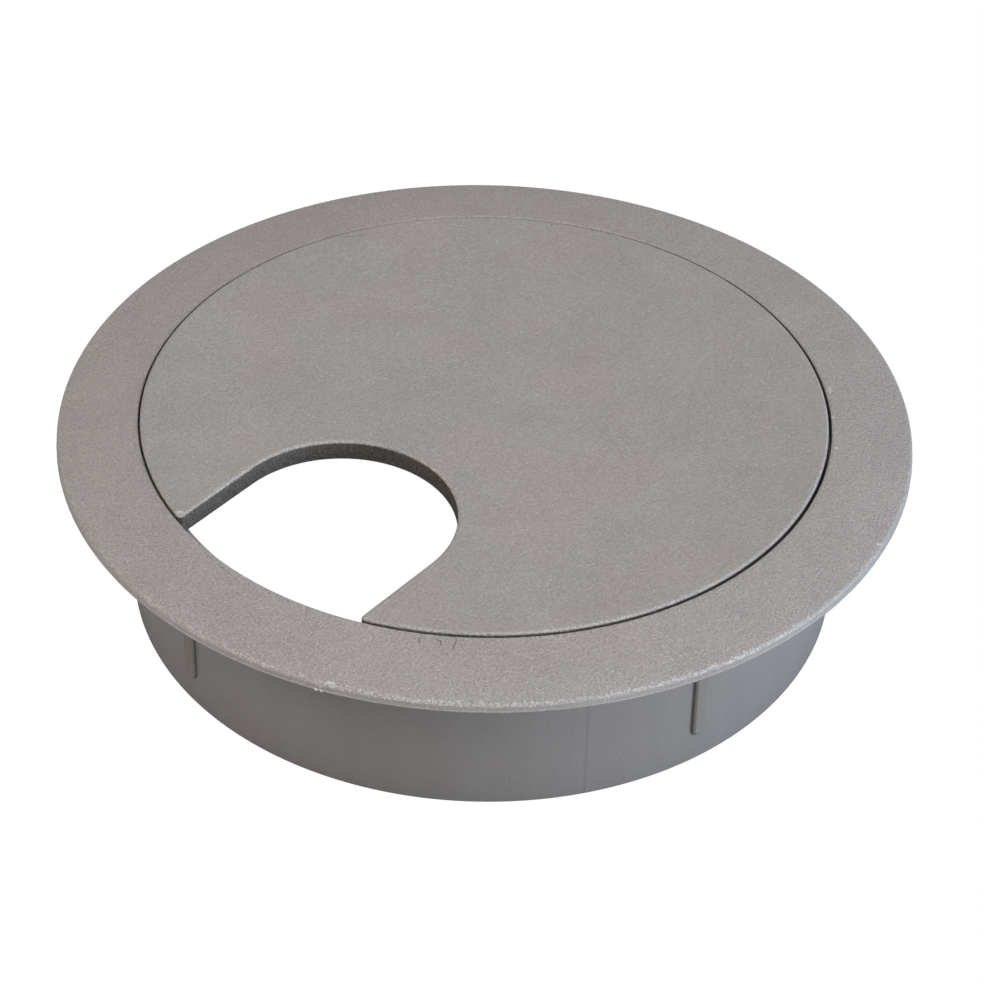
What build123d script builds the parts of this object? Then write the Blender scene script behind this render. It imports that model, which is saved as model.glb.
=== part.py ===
from build123d import *
import os
from math import cos, radians, sin

# Desk grommet in two moulded pieces: a flanged liner that drops into an 80 mm cable hole, and a flat
# slotted cap that lies loose in the liner and can be turned or lifted out.
# Millimetres, +Z up. The origin is on the barrel's axis, in the plane of the desk top that the
# underside of the flange rests on. The cable slot opens towards -Y.

# Driving dimensions
desk_hole_diameter = 80.0
flange_diameter = 95.0
overall_height = 22.0  # from the barrel's foot to the flange's inner lip
cable_slot_width = 25.1

# Liner: flange
flange_edge_height = 1.05
flange_lip_height = 2.3
flange_crown = 0.12  # how far the flange's top bulges above a straight cone
flange_top_round = 0.3
flange_foot_round = 0.15
lip_round = 0.3

# Liner: barrel
barrel_clearance = 0.15  # gap between the barrel and the desk hole, on the radius
barrel_wall = 1.65
barrel_foot_round = 0.2

# Liner: seat for the cap
seat_radius = 38.4
ledge_width = 1.55
ledge_thickness = 1.5
ledge_round = 0.2

# Liner: crush ribs, two opposite pairs, with sides that slope at 45 degrees
rib_width = 2.0  # where its sides meet the barrel
rib_height = 0.21
rib_end_gap = 3.7  # plain barrel left below the ribs
rib_edge_round = 0.12
rib_root = 0.3  # how deep a rib is sunk into the barrel's wall
rib_head = 1.8  # how far a rib runs up into the flange, past where its round end begins
rib_angles = (-15.65, 76.75, 164.35, 256.75)  # degrees from +X

# Cap
cap_gap = 0.22  # gap between the cap and its seat, on the radius
cap_thickness = 2.48
cap_proud = 0.2  # how far the cap's face stands above the lip
cap_top_round = 0.4
cap_foot_round = 0.2
cap_drift = 0.06  # the loose cap lies this far off the liner's axis
cap_drift_angle = 218.6
slot_arc_centre = 24.45  # from the cap's centre to the centre of the slot's round end
slot_mouth_round = 0.5

# Marks that the mould leaves under the cap
ejector_mark_radius = 2.0
ejector_mark_depth = 0.1
ejector_mark_count = 5
ejector_circle_radius = 28.0
gate_dimple_radius = 3.0
gate_dimple_depth = 0.5
gate_stub_radius = 0.9
gate_stub_height = 0.3

# Worked out from the above
flange_radius = flange_diameter / 2
barrel_radius = desk_hole_diameter / 2 - barrel_clearance
barrel_bore = barrel_radius - barrel_wall
barrel_length = overall_height - flange_lip_height
cap_radius = seat_radius - cap_gap
cap_top = flange_lip_height + cap_proud
ledge_top = cap_top - cap_thickness
ledge_bore = seat_radius - ledge_width
slot_half_width = cable_slot_width / 2
cap_centre = Location(
    (cap_drift * cos(radians(cap_drift_angle)), cap_drift * sin(radians(cap_drift_angle)), 0)
)


def rounded(outline, corners):
    """The flat outline with each (point, radius) corner rounded."""
    for point, radius in corners:
        corner = outline.vertices().sort_by_distance(point)[0]
        outline = fillet(corner, radius)
    return outline


def liner_shell():
    """Flange, barrel and cap ledge, turned about Z from one section (radius, height)."""
    flange_foot = (flange_radius, 0)
    flange_top = (flange_radius, flange_edge_height)
    lip = (seat_radius, flange_lip_height)
    ledge_edge = (ledge_bore, ledge_top)
    ledge_foot = (ledge_bore, ledge_top - ledge_thickness)
    foot_inside = (barrel_bore, -barrel_length)
    foot_outside = (barrel_radius, -barrel_length)
    walls = Polyline(
        lip,
        (seat_radius, ledge_top),
        ledge_edge,
        ledge_foot,
        (barrel_bore, ledge_foot[1] - (barrel_bore - ledge_bore)),
        foot_inside,
        foot_outside,
        (barrel_radius, 0),
        flange_foot,
        flange_top,
    )
    crown = SagittaArc(flange_top, lip, -flange_crown)
    section = rounded(
        make_face(walls + crown),
        [
            (flange_foot, flange_foot_round),
            (flange_top, flange_top_round),
            (lip, lip_round),
            (ledge_edge, ledge_round),
            (foot_inside, barrel_foot_round),
            (foot_outside, barrel_foot_round),
        ],
    )
    return revolve(Plane.XZ * section, Axis.Z)


def crush_rib(angle):
    """One low rib with sloped sides and round ends, running down the barrel from the flange."""
    outward = Vector(cos(radians(angle)), sin(radians(angle)), 0)
    foot = rib_end_gap - barrel_length - rib_root
    root_plane = Plane(
        origin=outward * (barrel_radius - rib_root) + Vector(0, 0, (rib_head + foot) / 2),
        x_dir=(-outward.Y, outward.X, 0),
        z_dir=outward,
    )
    root_outline = SlotOverall(rib_head - foot, rib_width + 2 * rib_root, rotation=90)
    rib = extrude(root_plane * root_outline, amount=rib_root + rib_height, taper=45)
    rim = rib.faces().sort_by(Axis((0, 0, 0), outward))[-1].edges()
    return fillet(rim, rib_edge_round)


def liner():
    """The piece that lines the hole in the desk."""
    shape = liner_shell()
    for angle in rib_angles:
        shape += crush_rib(angle)
    return shape


def cap_outline():
    """The cap seen from above, with its cable slot open to the rim."""
    slot = Pos(0, -slot_arc_centre) * Circle(slot_half_width)
    slot += Pos(0, -slot_arc_centre - cap_radius / 2) * Rectangle(cable_slot_width, cap_radius)
    mouth_y = -((cap_radius**2 - slot_half_width**2) ** 0.5)
    mouth = [((side * slot_half_width, mouth_y), slot_mouth_round) for side in (-1, 1)]
    return rounded(Circle(cap_radius) - slot, mouth)


def cap():
    """The loose disc that lies on the liner's ledge, where it lies in the liner."""
    disc = Pos(0, 0, ledge_top) * extrude(cap_outline(), amount=cap_thickness)
    disc = fillet(disc.faces().sort_by(Axis.Z)[-1].edges(), cap_top_round)
    disc = fillet(disc.faces().sort_by(Axis.Z)[0].edges(), cap_foot_round)
    for place in PolarLocations(ejector_circle_radius, ejector_mark_count, start_angle=90):
        disc -= Pos(0, 0, ledge_top) * place * mark(ejector_mark_radius, ejector_mark_depth)
    disc -= Pos(0, 0, ledge_top) * mark(gate_dimple_radius, gate_dimple_depth)
    stub = Cylinder(gate_stub_radius, gate_stub_height, align=(Align.CENTER, Align.CENTER, Align.MAX))
    disc += Pos(0, 0, ledge_top + gate_dimple_depth) * stub
    return cap_centre * disc


def mark(radius, depth):
    """A round hollow of this depth, cut up into the underside that lies at z = 0."""
    return Cylinder(radius, depth, align=(Align.CENTER, Align.CENTER, Align.MIN))


os.makedirs("parts", exist_ok=True)
export_step(liner(), "parts/liner.step")
export_step(cap(), "parts/cap.step")
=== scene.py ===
from math import atan2, ceil, cos, degrees, hypot, pi, radians, sin, sqrt, tan

import bmesh
import bpy
from mathutils import Matrix, Vector, noise


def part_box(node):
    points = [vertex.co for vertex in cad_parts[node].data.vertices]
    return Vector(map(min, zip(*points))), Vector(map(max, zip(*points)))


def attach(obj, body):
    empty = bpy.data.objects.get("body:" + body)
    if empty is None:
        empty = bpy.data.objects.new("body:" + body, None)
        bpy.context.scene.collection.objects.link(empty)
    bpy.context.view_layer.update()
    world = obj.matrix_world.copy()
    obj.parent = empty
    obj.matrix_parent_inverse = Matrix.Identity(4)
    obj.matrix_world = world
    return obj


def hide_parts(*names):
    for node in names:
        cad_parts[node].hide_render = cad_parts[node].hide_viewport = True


# Looks of a two-piece moulded desk grommet: a liner with a grained flange and a smooth barrel, and a
# grained cap with an open cable slot. Both pieces are built again here, finer than the CAD meshes and
# with the small marks of moulding and use, and replace the CAD nodes. They are built in millimetres
# and put into metres at the end. +Z is up, and the frame is the CAD model's own.

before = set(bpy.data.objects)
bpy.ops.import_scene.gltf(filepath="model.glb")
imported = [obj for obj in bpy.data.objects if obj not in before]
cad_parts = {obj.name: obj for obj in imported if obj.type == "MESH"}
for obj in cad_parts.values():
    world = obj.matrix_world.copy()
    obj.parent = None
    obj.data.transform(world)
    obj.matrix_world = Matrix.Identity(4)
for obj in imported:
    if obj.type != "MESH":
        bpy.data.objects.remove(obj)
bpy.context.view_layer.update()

MM = 0.001

# Read from the CAD nodes, in millimetres
liner_low, liner_high = [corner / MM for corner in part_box("liner")]
cap_low, cap_high = [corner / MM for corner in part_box("cap")]
FLANGE_RADIUS = liner_high.x
FOOT_Z = liner_low.z
CAP_RADIUS = (cap_high.x - cap_low.x) / 2
CAP_CENTRE = Vector(((cap_high.x + cap_low.x) / 2, cap_high.y - CAP_RADIUS))
CAP_TOP = cap_high.z
CAP_FOOT = cap_low.z

# The liner's section, in millimetres, as in the CAD model
LIP_RADIUS = 38.4
LIP_HEIGHT = 2.3
LIP_ROUND = 0.3
LEDGE_RADIUS = 36.85
LEDGE_THICKNESS = 1.5
BARREL_RADIUS = 39.85
BARREL_BORE = 38.2
BARREL_FOOT_ROUND = 0.2
FLANGE_EDGE_HEIGHT = 1.05
FLANGE_TOP_ROUND = 0.5  # softer than in the CAD model
FLANGE_CROWN = 0.12

LEDGE_ROUND = 0.2

# The seam of the mould along the flange's lower edge stands out a little as a bead
EDGE_BEAD = 0.06
EDGE_BEAD_HEIGHT = 0.18
EDGE_BEAD_ROUNDS = (0.05, 0.06)  # above, below

# How ragged the moulded edges are: height and length of the lumps, and a seed
BEAD_LUMPS = ((0.05, 0.9, 3.0), (0.02, 4.0, 5.0))
LIP_LUMPS = (0.02, 0.8, 7.0)

# Two small lumps of flash on the flange's lower edge
BURR_ANGLES = (-71.95, -71.25)
BURR_HALF_WIDTH = 0.3  # degrees
BURR_HEIGHT = 0.2

# Crush ribs
RIB_ANGLES = (-15.65, 76.75, 164.35, 256.75)
RIB_HALF_WIDTH = 1.0
RIB_HEIGHT = 0.45  # higher than in the CAD model
RIB_SHOULDER = 0.46  # width of each rounded side
RIB_END_Z = -16.15

# The mould's parting line down the barrel
PARTING_ANGLES = (-35.1, 144.9)
PARTING_HALF_WIDTH = 0.1
PARTING_HEIGHT = 0.015

# The cap's slot and edges
SLOT_HALF_WIDTH = 12.55
SLOT_ARC_CENTRE = 24.45
SLOT_MOUTH_ROUND = 0.5
CAP_TOP_ROUND = 0.4
CAP_FOOT_ROUND = 0.2
FLAT_RIM = 0.06  # of the flat faces, beside the roundings
EJECTOR_CIRCLE_RADIUS = 28.0
EJECTOR_COUNT = 5
EJECTOR_MARK = (2.0, 0.1)  # radius, depth
GATE_DIMPLE = (3.0, 0.5)
GATE_STUB = (0.9, 0.3)  # radius, height

# Camera, in metres and degrees, with its lens in millimetres
VIEW_AZIMUTH = 38.35  # 0 looks along +Y, 90 along -X
CAMERA_PLACE = (0.18125, -0.22908, 0.2231)
CAMERA_TARGET = (0.00785, -0.00864, 0.0)
CAMERA_ROLL = 1.302
CAMERA_LENS = 120.79

# Lights: azimuth from the camera and elevation in degrees, distance and size in metres, power in
# watts, colour
SOFTBOXES = {
    "overhead": (-28, 68, 0.6, 0.55, 4.15, (1.0, 1.0, 1.0)),
    "right_fill": (76, 9, 0.9, 0.3, 8.1, (0.68, 0.83, 1.0)),
    "left_fill": (-95, 8, 0.9, 0.5, 0.35, (1.0, 0.45, 0.35)),
}
SURROUNDING_LIGHT = 0.17
WHITE = (1.0, 1.0, 1.0, 1.0)
BACKDROP = (0.8, 0.8, 0.8, 1.0)
FLOOR_HALF_WIDTH = 4.0  # metres
FLOOR_BOUNCE = (0.65, 0.65, 0.65, 1.0)  # how the floor lights the object
FLOOR_SEEN = (0.02, 0.02, 0.02, 1.0)  # how far the camera sees lights on the white floor

# ---------------------------------------------------------------- shapes


def rounded_loop(corners, steps=6):
    """A closed outline through (x, y, radius) corners, with each corner rounded to its radius.

    Each point comes with how far it is into a rounding: 0 at its ends and 1 half way round it.
    """
    outline = []
    for i, (x, y, radius) in enumerate(corners):
        here = Vector((x, y))
        before = (Vector(corners[i - 1][:2]) - here).normalized()
        after = (Vector(corners[(i + 1) % len(corners)][:2]) - here).normalized()
        if radius == 0:
            outline.append((here, 0.0))
            continue
        half_corner = before.angle(after) / 2
        centre = here + (before + after).normalized() * radius / sin(half_corner)
        start = here + before * radius / tan(half_corner) - centre
        end = here + after * radius / tan(half_corner) - centre
        turn = atan2(start.cross(end), start.dot(end))
        for step in range(steps + 1):
            share = step / steps
            outline.append((centre + Matrix.Rotation(turn * share, 2) @ start, sin(pi * share)))
    return outline


def liner_section():
    """The liner's section as a closed list of ((radius, height), share of a rounding) pairs."""
    ledge_top = CAP_FOOT
    ledge_foot = ledge_top - LEDGE_THICKNESS
    wall = FLANGE_RADIUS - EDGE_BEAD
    corners = [(LIP_RADIUS, LIP_HEIGHT, LIP_ROUND)]
    crown_steps = 12
    for step in range(1, crown_steps):
        share = step / crown_steps
        crown = 4 * FLANGE_CROWN * share * (1 - share)
        radius = LIP_RADIUS + share * (wall - LIP_RADIUS)
        corners.append((radius, LIP_HEIGHT + share * (FLANGE_EDGE_HEIGHT - LIP_HEIGHT) + crown, 0))
    corners += [
        (wall, FLANGE_EDGE_HEIGHT, FLANGE_TOP_ROUND),
        (wall, EDGE_BEAD_HEIGHT + EDGE_BEAD, 0),
        (FLANGE_RADIUS, EDGE_BEAD_HEIGHT, EDGE_BEAD_ROUNDS[0]),
        (FLANGE_RADIUS, 0, EDGE_BEAD_ROUNDS[1]),
    ]
    # Spare rings under the flange and down the barrel, and close ones round the ribs' lower ends
    corners += [(radius, 0, 0) for radius in (42.0, BARREL_RADIUS + 0.6)]
    corners += [(BARREL_RADIUS, z, 0) for z in (0, -0.5, -7.0, -14.0)]
    end_steps = 16
    for step in range(end_steps + 1):
        z = RIB_END_Z + (1 - step / end_steps) * (RIB_HALF_WIDTH + 0.05)
        corners.append((BARREL_RADIUS, z, 0))
    corners += [
        (BARREL_RADIUS, -17.5, 0),
        (BARREL_RADIUS, FOOT_Z, BARREL_FOOT_ROUND),
        (BARREL_BORE, FOOT_Z, BARREL_FOOT_ROUND),
        (BARREL_BORE, -11.0, 0),
        (BARREL_BORE, ledge_foot - (BARREL_BORE - LEDGE_RADIUS), 0),
        (LEDGE_RADIUS, ledge_foot, 0),
        (LEDGE_RADIUS, ledge_top, LEDGE_ROUND),
        (LIP_RADIUS, ledge_top, 0),
    ]
    return rounded_loop(corners)


def rib_rise(across, z):
    """How far a rib stands out of the barrel at this distance from the rib's middle line."""
    below = max(0.0, RIB_END_Z + RIB_HALF_WIDTH - z)
    out = hypot(across, below)
    flat = RIB_HALF_WIDTH - RIB_SHOULDER
    if out >= RIB_HALF_WIDTH:
        return 0.0
    if out <= flat:
        return RIB_HEIGHT
    return RIB_HEIGHT * sqrt(1 - ((out - flat) / RIB_SHOULDER) ** 2)


def turn_from(middle, angle):
    """The angle as a turn from the middle, between -180 and 180 degrees."""
    return (angle - middle + 180) % 360 - 180


def barrel_rise(angle, z):
    """How far the ribs and the parting line stand out of the barrel at this angle and height."""
    rise = 0.0
    for middle in RIB_ANGLES:
        across = BARREL_RADIUS * radians(turn_from(middle, angle))
        rise = max(rise, rib_rise(abs(across), z))
    for middle in PARTING_ANGLES:
        across = BARREL_RADIUS * radians(turn_from(middle, angle))
        rise = max(rise, PARTING_HEIGHT * (1 - abs(across) / PARTING_HALF_WIDTH))
    return rise


def liner_angles():
    """Angles round the liner: even steps, and fine ones at the ribs, parting lines and burrs."""
    even_steps = 480
    angles = {round(360 * step / even_steps, 4) for step in range(even_steps)}
    shoulder_steps = 9
    spare = 0.02  # beyond each end of a rib's shoulder
    for middle in RIB_ANGLES:
        for side in (-1, 1):
            for step in range(shoulder_steps + 1):
                share = step / shoulder_steps
                across = RIB_HALF_WIDTH + spare - (RIB_SHOULDER + 2 * spare) * share
                angles.add(round((middle + side * degrees(across / BARREL_RADIUS)) % 360, 4))
    for middle in PARTING_ANGLES:
        for step in (-1, 0, 1):
            across = step * PARTING_HALF_WIDTH
            angles.add(round((middle + degrees(across / BARREL_RADIUS)) % 360, 4))
    for middle in BURR_ANGLES:
        for step in (-1, 0, 1):
            angles.add(round((middle + step * BURR_HALF_WIDTH) % 360, 4))
    return sorted(angles)


def ragged(angle, cell, seed):
    """Noise from -1 to 1 round the object, with lumps one cell long, in millimetres."""
    reach = LIP_RADIUS / cell
    return noise.noise(Vector((cos(radians(angle)) * reach, sin(radians(angle)) * reach, seed)))


def liner_point(angle, radius, z):
    """A point of the section at this angle, with ribs and uneven moulded edges."""
    on_barrel = abs(radius - BARREL_RADIUS) < 0.01 and z > FOOT_Z + 1
    on_bead = radius > FLANGE_RADIUS - 0.5 * EDGE_BEAD and z < EDGE_BEAD_HEIGHT + 0.05
    on_lip = radius < LIP_RADIUS + LIP_ROUND + 0.02 and z > LIP_HEIGHT - LIP_ROUND - 0.02
    if on_barrel:
        radius += barrel_rise(angle, z)
    if on_bead:
        radius -= sum(lump * abs(ragged(angle, length, seed)) for lump, length, seed in BEAD_LUMPS)
        off_burr = min(abs(turn_from(burr, angle)) for burr in BURR_ANGLES)
        radius += BURR_HEIGHT * max(0.0, 1 - off_burr / BURR_HALF_WIDTH)
    if on_lip:
        lump, length, seed = LIP_LUMPS
        radius += lump * ragged(angle, length, seed)
    return (radius * cos(radians(angle)), radius * sin(radians(angle)), z)


def finish_piece(name, bm, material, replaced):
    """Turns a bmesh in millimetres into a shaded piece that stands for a CAD node."""
    bmesh.ops.recalc_face_normals(bm, faces=bm.faces)
    bmesh.ops.scale(bm, vec=(MM, MM, MM), verts=bm.verts)
    mesh = bpy.data.meshes.new(name)
    bm.to_mesh(mesh)
    bm.free()
    mesh.shade_smooth()
    mesh.set_sharp_from_angle(angle=radians(35))
    mesh.materials.append(material)
    piece = bpy.data.objects.new(name, mesh)
    bpy.context.scene.collection.objects.link(piece)
    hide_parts(replaced)
    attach(piece, replaced)
    return piece


def edged_ring(bm, points, shares):
    """Vertices at these points, each with its share of a rounding for the material to read."""
    edge = bm.verts.layers.float.get("edge") or bm.verts.layers.float.new("edge")
    ring = []
    for point, share in zip(points, shares):
        vertex = bm.verts.new(point)
        vertex[edge] = share
        ring.append(vertex)
    return ring


def build_liner(material):
    """The liner: its section, repeated round the axis."""
    bm = bmesh.new()
    section = liner_section()
    shares = [share for _, share in section]
    rings = []
    for angle in liner_angles():
        points = [liner_point(angle, *point) for point, _ in section]
        rings.append(edged_ring(bm, points, shares))
    for i, ring in enumerate(rings):
        following = rings[(i + 1) % len(rings)]
        for j in range(len(section)):
            k = (j + 1) % len(section)
            bm.faces.new((ring[j], ring[k], following[k], following[j]))
    return finish_piece("liner_moulding", bm, material, "liner")


def arc(centre, radius, start, end, pitch):
    """Points along an arc, angles in degrees, each with its direction away from the centre."""
    steps = max(6, ceil(abs(radians(end - start)) * radius / pitch))
    found = []
    for step in range(steps + 1):
        turn = radians(start + (end - start) * step / steps)
        away = Vector((cos(turn), sin(turn)))
        found.append((centre + away * radius, away))
    return found


def cap_outline():
    """The cap's outline round its own centre, as (point, outward direction) pairs."""
    pitch = 0.55  # between points
    mouth = SLOT_HALF_WIDTH + SLOT_MOUTH_ROUND
    mouth_y = -sqrt((CAP_RADIUS - SLOT_MOUTH_ROUND) ** 2 - mouth**2)
    mouth_turn = degrees(atan2(mouth_y, mouth))
    outline = arc(Vector((0, 0)), CAP_RADIUS, mouth_turn, 180 - mouth_turn, pitch)[:-1]
    outline += arc(Vector((-mouth, mouth_y)), SLOT_MOUTH_ROUND, 180 - mouth_turn, 360, pitch)
    side_steps = 16
    side_length = -SLOT_ARC_CENTRE - mouth_y
    side = [mouth_y + side_length * step / side_steps for step in range(1, side_steps)]
    outline += [(Vector((-SLOT_HALF_WIDTH, y)), Vector((1, 0))) for y in side]
    slot_end = arc(Vector((0, -SLOT_ARC_CENTRE)), SLOT_HALF_WIDTH, 180, 0, pitch)
    outline += [(point, -away) for point, away in slot_end]
    outline += [(Vector((SLOT_HALF_WIDTH, y)), Vector((-1, 0))) for y in reversed(side)]
    outline += arc(Vector((mouth, mouth_y)), SLOT_MOUTH_ROUND, 180, 360 + mouth_turn, pitch)[:-1]
    return outline


def edge_rings():
    """The cap's side, from the flat top round to the flat underside.

    Each ring is its inset, its height, and how far it is into the top rounding.
    """
    rings = [(CAP_TOP_ROUND + FLAT_RIM, CAP_TOP, 0.0)]
    top_steps, foot_steps = 8, 4
    for step in range(top_steps + 1):
        turn = pi / 2 * step / top_steps
        height = CAP_TOP - CAP_TOP_ROUND * (1 - cos(turn))
        rings.append((CAP_TOP_ROUND * (1 - sin(turn)), height, sin(2 * turn)))
    rings.append((0, (CAP_TOP + CAP_FOOT) / 2, 0.0))
    for step in range(foot_steps + 1):
        turn = pi / 2 * step / foot_steps
        height = CAP_FOOT + CAP_FOOT_ROUND * (1 - sin(turn))
        rings.append((CAP_FOOT_ROUND * (1 - cos(turn)), height, 0.0))
    rings.append((CAP_FOOT_ROUND + FLAT_RIM, CAP_FOOT, 0.0))
    return rings


def circle(bm, centre, radius, z, steps=48):
    """A level ring of vertices."""
    ring = []
    for step in range(steps):
        turn = 2 * pi * step / steps
        ring.append(bm.verts.new((centre.x + radius * cos(turn), centre.y + radius * sin(turn), z)))
    return ring


def bridge(bm, first, second):
    """Joins two closed rings of as many points with a band of faces."""
    for i in range(len(first)):
        k = (i + 1) % len(first)
        bm.faces.new((first[i], first[k], second[k], second[i]))


def hollow(bm, centre, radius, depth):
    """A round hollow in the cap's underside. Returns its mouth and its inner rim."""
    mouth = circle(bm, centre, radius, CAP_FOOT)
    rim = circle(bm, centre, radius, CAP_FOOT + depth)
    bridge(bm, mouth, rim)
    return mouth, rim


def build_cap(material):
    """The cap: its rounded side, its flat top, and its underside with the mould's marks."""
    bm = bmesh.new()
    outline = cap_outline()
    rings = []
    for inset, z, share in edge_rings():
        flat = [CAP_CENTRE + point - away * inset for point, away in outline]
        rings.append(edged_ring(bm, [(x, y, z) for x, y in flat], [share] * len(flat)))
    for first, second in zip(rings, rings[1:]):
        bridge(bm, first, second)
    bm.faces.new(rings[0])

    mouths = []
    for mark in range(EJECTOR_COUNT):
        turn = radians(90 + 360 / EJECTOR_COUNT * mark)
        place = CAP_CENTRE + EJECTOR_CIRCLE_RADIUS * Vector((cos(turn), sin(turn)))
        mouth, rim = hollow(bm, place, *EJECTOR_MARK)
        bm.faces.new(rim)
        mouths.append(mouth)
    mouth, rim = hollow(bm, CAP_CENTRE, *GATE_DIMPLE)
    mouths.append(mouth)
    stub_radius, stub_height = GATE_STUB
    dimple_top = CAP_FOOT + GATE_DIMPLE[1]
    stub_root = circle(bm, CAP_CENTRE, stub_radius, dimple_top)
    stub_end = circle(bm, CAP_CENTRE, stub_radius, dimple_top - stub_height)
    bridge(bm, rim, stub_root)
    bridge(bm, stub_root, stub_end)
    bm.faces.new(stub_end)

    rims = [rings[-1]] + mouths
    edges = [bm.edges.get((rim[i - 1], rim[i])) for rim in rims for i in range(len(rim))]
    bmesh.ops.triangle_fill(bm, use_beauty=True, edges=edges)
    return finish_piece("cap_moulding", bm, material, "cap")


# ---------------------------------------------------------------- shader helpers


class Shader:
    """A material's node tree, with short calls for the nodes that the plastics need."""

    def __init__(self, name):
        self.material = bpy.data.materials.new(name)
        self.material.use_nodes = True
        self.tree = self.material.node_tree
        self.tree.nodes.clear()

    def node(self, kind, **settings):
        made = self.tree.nodes.new("ShaderNode" + kind)
        for key, value in settings.items():
            setattr(made, key, value)
        return made

    def link(self, source, target):
        self.tree.links.new(source, target)

    def feed(self, value, socket):
        """Puts a number, a colour or another node's output into a socket."""
        if isinstance(value, bpy.types.NodeSocket):
            self.link(value, socket)
        else:
            socket.default_value = value

    def math(self, operation, *values):
        made = self.node("Math", operation=operation)
        for value, socket in zip(values, made.inputs):
            self.feed(value, socket)
        return made.outputs[0]

    def ramp(self, value, low, high, out_low=0.0, out_high=1.0, smooth=True):
        """Maps low..high to out_low..out_high and holds the ends."""
        kind = "SMOOTHSTEP" if smooth else "LINEAR"
        made = self.node("MapRange", interpolation_type=kind)
        names = ("Value", "From Min", "From Max", "To Min", "To Max")
        for key, number in zip(names, (value, low, high, out_low, out_high)):
            self.feed(number, made.inputs[key])
        return made.outputs[0]

    def mix(self, share, first, second, blend="MIX"):
        """A colour between two, by share."""
        made = self.node("Mix", data_type="RGBA", blend_type=blend)
        self.feed(share, made.inputs[0])
        self.feed(first, made.inputs[6])
        self.feed(second, made.inputs[7])
        return made.outputs[2]

    def shade(self, colour, factor):
        """The colour, made this many times as bright."""
        made = self.node("VectorMath", operation="SCALE")
        self.feed(colour if isinstance(colour, bpy.types.NodeSocket) else colour[:3], made.inputs[0])
        self.feed(factor, made.inputs["Scale"])
        return made.outputs[0]

    def place(self):
        """The point on the object, in the object's own frame."""
        return self.node("TexCoord").outputs["Object"]

    def edge(self):
        """How far the point is into a rounded edge, as the mesh code left it."""
        return self.node("Attribute", attribute_name="edge").outputs["Fac"]

    def upward(self):
        """How far the surface faces up or down: 0 on an upright wall, 1 on a level one."""
        split = self.node("SeparateXYZ")
        self.link(self.node("TexCoord").outputs["Normal"], split.inputs[0])
        return self.math("ABSOLUTE", split.outputs["Z"])

    def along(self, place, angle):
        """How far the point lies from the axis in the direction of this angle."""
        made = self.node("VectorMath", operation="DOT_PRODUCT")
        self.link(place, made.inputs[0])
        made.inputs[1].default_value = (cos(radians(angle)), sin(radians(angle)), 0)
        return made.outputs["Value"]

    def off_plane(self, place, angle):
        """The distance from the upright plane through the axis at this angle."""
        turned = self.node("VectorRotate", rotation_type="Z_AXIS")
        self.link(place, turned.inputs["Vector"])
        turned.inputs["Angle"].default_value = -radians(angle)
        split = self.node("SeparateXYZ")
        self.link(turned.outputs[0], split.inputs[0])
        return self.math("ABSOLUTE", split.outputs["Y"])

    def cylindrical(self, place):
        """The distance from the Z axis and the height of a point."""
        split = self.node("SeparateXYZ")
        self.link(place, split.inputs[0])
        squares = [self.math("POWER", split.outputs[name], 2.0) for name in "XY"]
        radius = self.math("SQRT", self.math("ADD", *squares))
        return radius, split.outputs["Z"]

    def noise(self, place, cell, detail=2.0, roughness=0.5, stretch=None):
        """Noise whose lumps are about one cell across, in metres."""
        if stretch:
            scaled = self.node("VectorMath", operation="MULTIPLY")
            self.link(place, scaled.inputs[0])
            scaled.inputs[1].default_value = stretch
            place = scaled.outputs[0]
        made = self.node("TexNoise")
        self.link(place, made.inputs["Vector"])
        made.inputs["Scale"].default_value = 1 / cell
        made.inputs["Detail"].default_value = detail
        made.inputs["Roughness"].default_value = roughness
        return made.outputs["Fac"]

    def bump(self, height, depth):
        """A normal bent by a height from 0 to 1 that stands for this depth in metres."""
        made = self.node("Bump")
        made.inputs["Strength"].default_value = 1.0
        made.inputs["Distance"].default_value = depth
        self.link(height, made.inputs["Height"])
        return made.outputs[0]


# ---------------------------------------------------------------- materials

CAP_COLOUR = (0.297, 0.272, 0.253, 1.0)
FLANGE_COLOUR = (0.316, 0.286, 0.271, 1.0)
BARREL_COLOUR = (0.232, 0.211, 0.200, 1.0)
RIB_COLOUR = (0.215, 0.190, 0.172, 1.0)
# The light tone of scuffs and rubbed grain, and of the painted glints and highlights
WORN_AND_GLINT_COLOUR = (0.58, 0.54, 0.505, 1.0)
HAIR_COLOUR = (0.10, 0.09, 0.08, 1.0)
RED_TINT = (1.015, 0.993, 0.993, 1.0)
SIDE_SHADE_TINT = (0.36, 0.335, 0.31, 1.0)  # painted shade on the cap's upright sides

# How bright a place is beside its surroundings
CREASE_SHADE = 0.42  # along the foot of a rib
SEAM_SHADE = 0.25  # inside the gap round the cap
PARTING_SHADE = 0.93
RIM_SHADE = 0.93

# The spark-eroded grain, and how far it swings the brightness
GRAIN_CELL = 0.24 * MM
GRAIN_DEPTH = 0.09 * MM
CAP_GRAIN = 0.21
CAP_SIDE_GRAIN = 0.7
FLANGE_GRAIN = 0.3
RIM_GRAIN = 0.12
BARREL_GRAIN = 0.1

# Light specks along the edges, partly rubbed grain and partly painted glints, and a painted highlight
# along the flange's rim
SPECK_CELL = 0.24 * MM
CAP_WEAR_AND_GLINT = 0.4
FOOT_WEAR = 0.4
FLANGE_WEAR_AND_GLINT = (0.12, 0.65)  # strength of the specks and painted highlight where the painted glints are weakest, and where they are strongest
GLINT_ANGLE = -48  # where the painted glints and highlight on the flange are strongest
# Painted highlight along the flange's rounded top edge
PAINTED_RIM_HIGHLIGHT = 0.15
UPRIGHT, LEVEL = 0.1, 0.55  # how far a surface faces up, where it counts as a side or as the top
WANDER = 0.5  # how far a mark strays from a straight line, in millimetres

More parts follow.
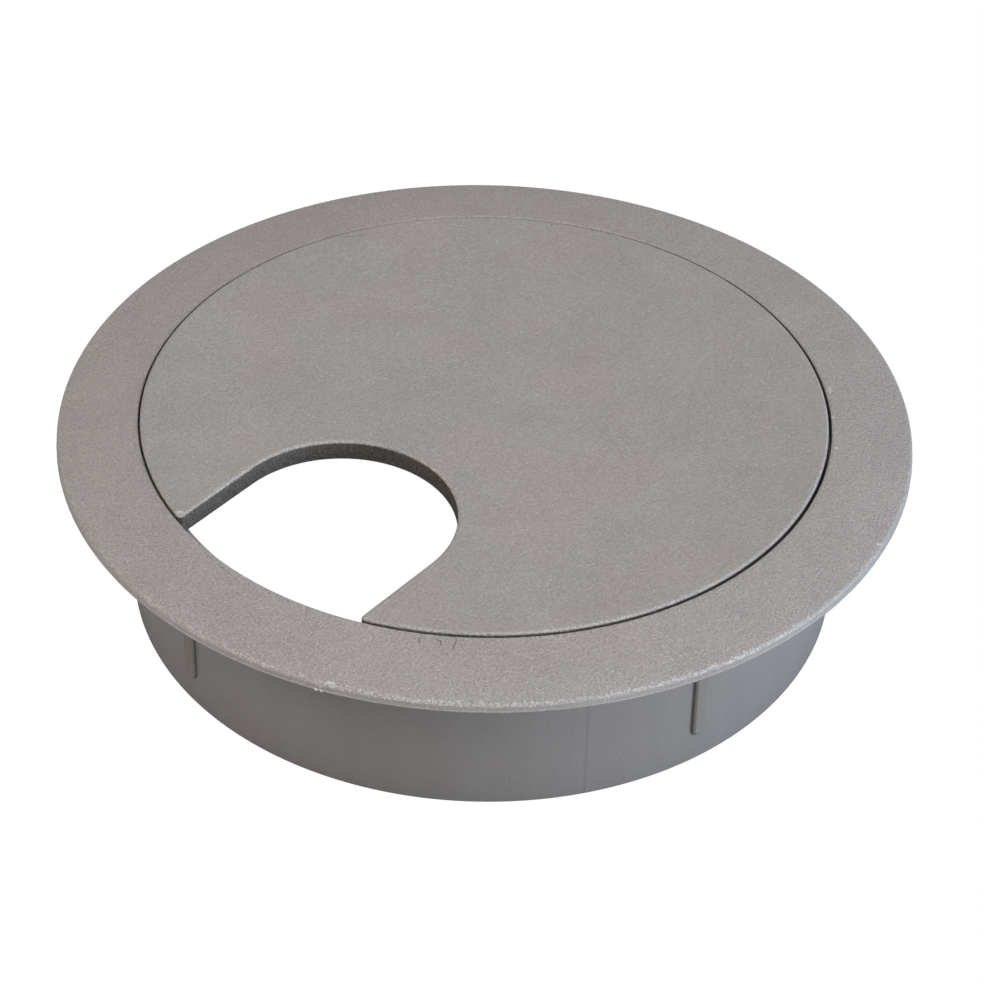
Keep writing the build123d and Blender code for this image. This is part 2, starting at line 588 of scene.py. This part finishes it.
# Small marks of use: x, y, direction in degrees, length and width, in millimetres
FLANGE_HAIRS = (
    (19.39, -34.58, 128, 1.0, 0.19),
    (20.82, -33.25, 10, 0.8, 0.19),
    (21.3, -33.4, 135, 0.8, 0.19),
    (22.53, -32.68, 115, 1.9, 0.15),
    (-3.80, -38.99, 26, 0.5, 0.14),
)
FLANGE_SCUFFS = (
    (27.19, 27.93, 130, 1.3, 0.22),
    (30.32, 23.96, 125, 0.5, 0.25),
    (33.74, 19.54, 118, 0.5, 0.25),
    (46.0, 9.9, 60, 0.7, 0.3),
    (16.0, -44.3, 20, 1.1, 0.28),
    (15.0, -45.2, 20, 1.0, 0.3),
)
CAP_HAIRS = (
    (-33.4, 16.1, 50, 3.2, 0.16),
)
CAP_SCUFFS = (
    (-13.2, -35.4, 60, 0.9, 0.35),
)


def spark_grain(shader, place):
    """Height of the fine spark-eroded grain, from 0 to 1."""
    lumps = shader.noise(place, GRAIN_CELL, detail=2.5, roughness=0.6)
    return shader.ramp(lumps, 0.25, 0.75, smooth=False)


def around_one(shader, value, swing):
    """Turns a value from 0 to 1 into a factor from 1 - swing to 1 + swing."""
    centred = shader.math("SUBTRACT", shader.math("MULTIPLY", value, 2.0), 1.0)
    return shader.math("ADD", shader.math("MULTIPLY", centred, swing), 1.0)


def clouds(shader, place, colour, cell=7 * MM, swing=0.035, stretch=None):
    """The colour with large, faint lighter, darker and redder areas."""
    cloud = shader.ramp(shader.noise(place, cell, detail=3.0, stretch=stretch), 0.3, 0.7)
    colour = shader.shade(colour, around_one(shader, cloud, swing))
    red = shader.ramp(shader.noise(place, 1.7 * cell), 0.45, 0.65, 0.0, 0.6)
    return shader.mix(red, colour, RED_TINT, blend="MULTIPLY")


def wear_and_glint_specks(shader, place, colour, edge, strength):
    """The colour with light specks, partly rubbed grain and partly painted glints, nearly all of them
    along the edges.
    """
    speck = shader.noise(place, SPECK_CELL, detail=1.0)
    threshold = shader.ramp(edge, 0.0, 1.0, 0.67, 0.42, smooth=False)
    above = shader.math("SUBTRACT", speck, threshold)
    patchy = shader.ramp(shader.noise(place, 5 * MM), 0.35, 0.6, 0.4, 1.0)
    share = shader.math("MULTIPLY", shader.ramp(above, 0.0, 0.12), patchy)
    return shader.mix(shader.math("MULTIPLY", share, strength), colour, WORN_AND_GLINT_COLOUR)


def marked(shader, place, colour, marks, tone, strength):
    """The colour with thin, slightly crooked strokes at the marks."""
    wander = shader.node("VectorMath", operation="MULTIPLY_ADD")
    bend = shader.node("TexNoise")
    shader.link(place, bend.inputs["Vector"])
    bend.inputs["Scale"].default_value = 1 / (0.8 * MM)
    shader.link(bend.outputs["Color"], wander.inputs[0])
    wander.inputs[1].default_value = [WANDER * MM] * 3
    shader.link(place, wander.inputs[2])
    shift = WANDER / 2
    for x, y, direction, length, width in marks:
        local = shader.node("Mapping", vector_type="TEXTURE")
        shader.link(wander.outputs[0], local.inputs["Vector"])
        local.inputs["Location"].default_value = ((x + shift) * MM, (y + shift) * MM, 0)
        local.inputs["Rotation"].default_value = (0, 0, radians(direction))
        split = shader.node("SeparateXYZ")
        shader.link(local.outputs[0], split.inputs[0])
        along = shader.math("ABSOLUTE", split.outputs["X"])
        across = shader.math("ABSOLUTE", split.outputs["Y"])
        inside = shader.ramp(along, 0.35 * length * MM, 0.5 * length * MM, 1.0, 0.0)
        share = shader.math("MULTIPLY", inside, shader.ramp(across, 0.0, width * MM, 1.0, 0.0))
        colour = shader.mix(shader.math("MULTIPLY", share, strength), colour, tone)
    return colour


def plastic(shader, colour, roughness, normal):
    """The material of a moulded plastic."""
    surface = shader.node("BsdfPrincipled")
    shader.feed(colour, surface.inputs["Base Color"])
    shader.feed(roughness, surface.inputs["Roughness"])
    shader.link(normal, surface.inputs["Normal"])
    surface.inputs["IOR"].default_value = 1.5
    output = shader.node("OutputMaterial")
    shader.link(surface.outputs[0], output.inputs["Surface"])
    return shader.material


def cap_plastic():
    """Grained all over, with light specks along the edges, partly rubbed grain and partly painted
    glints, and painted shade on the upright sides.
    """
    shader = Shader("cap_plastic")
    place = shader.place()
    grain = spark_grain(shader, place)
    colour = clouds(shader, place, CAP_COLOUR)
    facing_up = shader.upward()
    swing = shader.ramp(facing_up, UPRIGHT, LEVEL, CAP_SIDE_GRAIN, CAP_GRAIN)
    colour = shader.shade(colour, around_one(shader, grain, swing))
    colour = marked(shader, place, colour, CAP_HAIRS, HAIR_COLOUR, 0.4)
    colour = marked(shader, place, colour, CAP_SCUFFS, WORN_AND_GLINT_COLOUR, 0.7)
    # Light specks on the rounding of the top edge: partly rubbed grain, partly painted glints
    colour = wear_and_glint_specks(shader, place, colour, shader.ramp(shader.edge(), 0.5, 1.0), CAP_WEAR_AND_GLINT)
    # Painted shade: the cap's upright sides, in the slot and round the rim, are darkened
    side_shaded = shader.mix(1.0, colour, SIDE_SHADE_TINT, blend="MULTIPLY")
    colour = shader.mix(shader.ramp(facing_up, UPRIGHT, LEVEL), side_shaded, colour)
    roughness = shader.ramp(grain, 0.0, 1.0, 0.62, 0.48, smooth=False)
    normal = shader.bump(grain, GRAIN_DEPTH)
    return plastic(shader, colour, roughness, normal)


def flange_colour(shader, place, radius, grain, on_rim):
    """The grained flange: clouds, grain, marks, painted shade on the rim's upright face, a painted
    highlight and light specks (partly rubbed grain, partly painted glints) along the rim, and painted
    shade in the gap round the cap.
    """
    colour = clouds(shader, place, FLANGE_COLOUR)
    swing = shader.ramp(on_rim, 0.0, 1.0, FLANGE_GRAIN, RIM_GRAIN)
    colour = shader.shade(colour, around_one(shader, grain, swing))
    colour = shader.shade(colour, shader.ramp(on_rim, 0.0, 1.0, 1.0, RIM_SHADE))
    colour = marked(shader, place, colour, FLANGE_HAIRS, HAIR_COLOUR, 0.8)
    colour = marked(shader, place, colour, FLANGE_SCUFFS, WORN_AND_GLINT_COLOUR, 0.8)

    near_rim = shader.ramp(radius, (FLANGE_RADIUS - 0.9) * MM, (FLANGE_RADIUS - 0.3) * MM, 0.0, 0.5)
    near_rim = shader.math("MULTIPLY", near_rim, shader.math("SUBTRACT", 1.0, on_rim))
    wear_and_glint_mask = shader.math("MAXIMUM", shader.edge(), near_rim)
    # Painted highlight and glints along the flange's rim, strongest on one side, with light specks of
    # rubbed grain
    wear_and_glint = shader.ramp(shader.along(place, GLINT_ANGLE), 20 * MM, 42 * MM, *FLANGE_WEAR_AND_GLINT)
    lighter = shader.math("MULTIPLY", shader.ramp(shader.edge(), 0.3, 1.0), PAINTED_RIM_HIGHLIGHT)
    colour = shader.mix(shader.math("MULTIPLY", lighter, wear_and_glint), colour, WORN_AND_GLINT_COLOUR)
    colour = wear_and_glint_specks(shader, place, colour, wear_and_glint_mask, wear_and_glint)
    seam = shader.ramp(radius, (LIP_RADIUS + 0.02) * MM, (LIP_RADIUS + 0.1) * MM, SEAM_SHADE, 1.0)
    return shader.shade(colour, seam)


def barrel_colour(shader, place, radius, grain, on_rib):
    """The smooth barrel: drawn-out clouds, light specks along the foot, parting lines, and ribs with
    painted shade along their feet.
    """
    colour = clouds(shader, place, BARREL_COLOUR, cell=3 * MM, swing=0.025, stretch=(1, 1, 0.12))
    colour = shader.shade(colour, around_one(shader, grain, BARREL_GRAIN))
    at_foot = shader.ramp(shader.edge(), 0.2, 0.8, 0.0, FOOT_WEAR)
    colour = wear_and_glint_specks(shader, place, colour, shader.edge(), at_foot)
    for angle in PARTING_ANGLES:
        off_line = shader.off_plane(place, angle)
        colour = shader.shade(colour, shader.ramp(off_line, 0.05 * MM, 0.3 * MM, PARTING_SHADE, 1.0))
    # Painted shade along the feet of the ribs, over the ribs' own colour
    rib_foot = shader.ramp(radius, (BARREL_RADIUS + 0.01) * MM, (BARREL_RADIUS + 0.06) * MM)
    crease = shader.ramp(on_rib, 0.0, 0.8, CREASE_SHADE, 1.0)
    return shader.mix(rib_foot, colour, shader.shade(RIB_COLOUR, crease))


def liner_plastic():
    """Grained on the flange, and smooth with ribs a little rougher below it."""
    shader = Shader("liner_plastic")
    place = shader.place()
    radius, height = shader.cylindrical(place)
    grain = spark_grain(shader, place)
    on_flange = shader.ramp(height, 0.0, 0.1 * MM)
    on_rim = shader.ramp(radius, (FLANGE_RADIUS - 0.25) * MM, (FLANGE_RADIUS - 0.1) * MM)
    on_rib = shader.ramp(radius, (BARREL_RADIUS + 0.1) * MM, (BARREL_RADIUS + 0.4) * MM)
    on_rib = shader.math("MULTIPLY", on_rib, shader.math("SUBTRACT", 1.0, on_flange))

    barrel = barrel_colour(shader, place, radius, grain, on_rib)
    flange = flange_colour(shader, place, radius, grain, on_rim)
    colour = shader.mix(on_flange, barrel, flange)
    barrel_roughness = shader.ramp(on_rib, 0.0, 1.0, 0.4, 0.6)
    roughness = shader.ramp(on_flange, 0.0, 1.0, barrel_roughness, 0.55)
    grained = shader.math("MULTIPLY", on_flange, shader.ramp(on_rim, 0.0, 1.0, 1.0, 0.3))
    normal = shader.bump(shader.math("MULTIPLY", grain, grained), 1.5 * GRAIN_DEPTH)
    return plastic(shader, colour, roughness, normal)


# ---------------------------------------------------------------- stage


def toward(azimuth, elevation):
    """The direction from the object to a point this far round from the camera, and this high."""
    turn = radians(VIEW_AZIMUTH + azimuth)
    rise = radians(elevation)
    return Vector((sin(turn) * cos(rise), -cos(turn) * cos(rise), sin(rise)))


def build_floor():
    """A pale floor, which the camera sees near white and which throws soft light back up."""
    shader = Shader("floor_paper")
    seen = shader.node("Emission")
    seen.inputs["Color"].default_value = WHITE
    seen.inputs["Strength"].default_value = 1.0
    lit = shader.node("BsdfDiffuse")
    lit.inputs["Color"].default_value = FLOOR_SEEN
    shown = shader.node("AddShader")
    shader.link(seen.outputs[0], shown.inputs[0])
    shader.link(lit.outputs[0], shown.inputs[1])
    bounce = shader.node("BsdfDiffuse")
    bounce.inputs["Color"].default_value = FLOOR_BOUNCE
    ray = shader.node("LightPath")
    either = shader.node("MixShader")
    shader.link(ray.outputs["Is Camera Ray"], either.inputs[0])
    shader.link(bounce.outputs[0], either.inputs[1])
    shader.link(shown.outputs[0], either.inputs[2])
    output = shader.node("OutputMaterial")
    shader.link(either.outputs[0], output.inputs["Surface"])

    half, z = FLOOR_HALF_WIDTH, FOOT_Z * MM
    mesh = bpy.data.meshes.new("floor")
    corners = [(-half, -half, z), (half, -half, z), (half, half, z), (-half, half, z)]
    mesh.from_pydata(corners, [], [(0, 1, 2, 3)])
    mesh.materials.append(shader.material)
    plane = bpy.data.objects.new("floor", mesh)
    bpy.context.scene.collection.objects.link(plane)


def softbox(name, azimuth, elevation, distance, size, power, colour):
    """A square soft light that faces the object."""
    lamp = bpy.data.lights.new(name, "AREA")
    lamp.shape = "SQUARE"
    lamp.size = size
    lamp.energy = power
    lamp.color = colour
    holder = bpy.data.objects.new(name, lamp)
    direction = toward(azimuth, elevation)
    holder.location = direction * distance
    holder.rotation_euler = direction.to_track_quat("Z", "Y").to_euler()
    bpy.context.scene.collection.objects.link(holder)


def surroundings(strength):
    """Even light from all round, with a pale backdrop for the camera."""
    world = bpy.data.worlds.new("studio")
    world.use_nodes = True
    tree = world.node_tree
    tree.nodes.clear()
    even = tree.nodes.new("ShaderNodeBackground")
    even.inputs["Color"].default_value = WHITE
    even.inputs["Strength"].default_value = strength
    seen = tree.nodes.new("ShaderNodeBackground")
    seen.inputs["Color"].default_value = BACKDROP
    seen.inputs["Strength"].default_value = 1.0
    ray = tree.nodes.new("ShaderNodeLightPath")
    either = tree.nodes.new("ShaderNodeMixShader")
    output = tree.nodes.new("ShaderNodeOutputWorld")
    tree.links.new(ray.outputs["Is Camera Ray"], either.inputs[0])
    tree.links.new(even.outputs[0], either.inputs[1])
    tree.links.new(seen.outputs[0], either.inputs[2])
    tree.links.new(either.outputs[0], output.inputs["Surface"])
    bpy.context.scene.world = world


def build_camera():
    """The camera where the part is seen from in front, above and a little to the right."""
    data = bpy.data.cameras.new("camera")
    data.sensor_width = 36.0
    data.lens = CAMERA_LENS
    data.clip_start = 0.01
    data.clip_end = 20.0
    holder = bpy.data.objects.new("camera", data)
    place = Vector(CAMERA_PLACE)
    aim = (Vector(CAMERA_TARGET) - place).to_track_quat("-Z", "Y").to_matrix()
    roll = Matrix.Rotation(radians(CAMERA_ROLL), 3, "Z")
    holder.matrix_world = Matrix.Translation(place) @ (aim @ roll).to_4x4()
    bpy.context.scene.collection.objects.link(holder)
    bpy.context.scene.camera = holder


# ---------------------------------------------------------------- scene

build_camera()
build_liner(liner_plastic())
build_cap(cap_plastic())
build_floor()
surroundings(SURROUNDING_LIGHT)
for name, settings in SOFTBOXES.items():
    softbox(name, *settings)
bpy.context.scene.view_settings.view_transform = "Standard"
